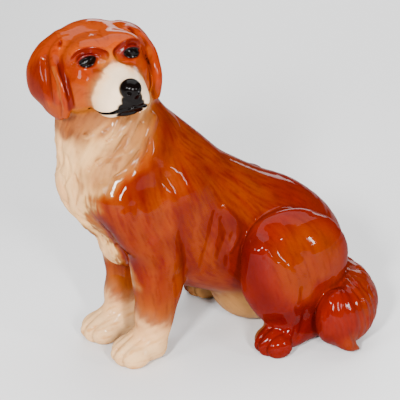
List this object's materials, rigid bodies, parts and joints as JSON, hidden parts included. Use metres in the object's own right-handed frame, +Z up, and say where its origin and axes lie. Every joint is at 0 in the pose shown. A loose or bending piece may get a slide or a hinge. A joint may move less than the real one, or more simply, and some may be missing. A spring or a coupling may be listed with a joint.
{
  "type": "dog figurine",
  "caption": "Glazed slip-cast ceramic figurine of a sitting long-haired dog, head turned to its left and tail curled beside the haunch, resting on paws and rump.",
  "frame": {"origin": "bottom centre of the figure's box, on the surface that it rests on", "axes": "the dog's body faces -Y, its left side is +X, and +Z is up"},
  "size_m": [0.165, 0.252, 0.2483],
  "materials": {
    "body_glaze": "airbrushed brown-orange coat with a cream bib under a clear gloss glaze",
    "head_glaze": "orange-red crown fading to a cream muzzle, painted black eyes, nose and lips, gloss glaze",
    "ear_glaze": "orange-red airbrushed colour under gloss glaze",
    "foreleg_glaze": "brown-orange fading to cream paws under gloss glaze",
    "hind_leg_glaze": "orange-red coat with darker muscle hollows under gloss glaze",
    "tail_glaze": "orange-red fur locks under gloss glaze"
  },
  "bodies": {
    "root": {"body": "body_glaze", "head": "head_glaze", "ear_left": "ear_glaze", "ear_right": "ear_glaze", "foreleg_left": "foreleg_glaze", "foreleg_right": "foreleg_glaze", "hind_leg_left": "hind_leg_glaze", "hind_leg_right": "hind_leg_glaze", "tail": "tail_glaze"}
  },
  "joints": []
}
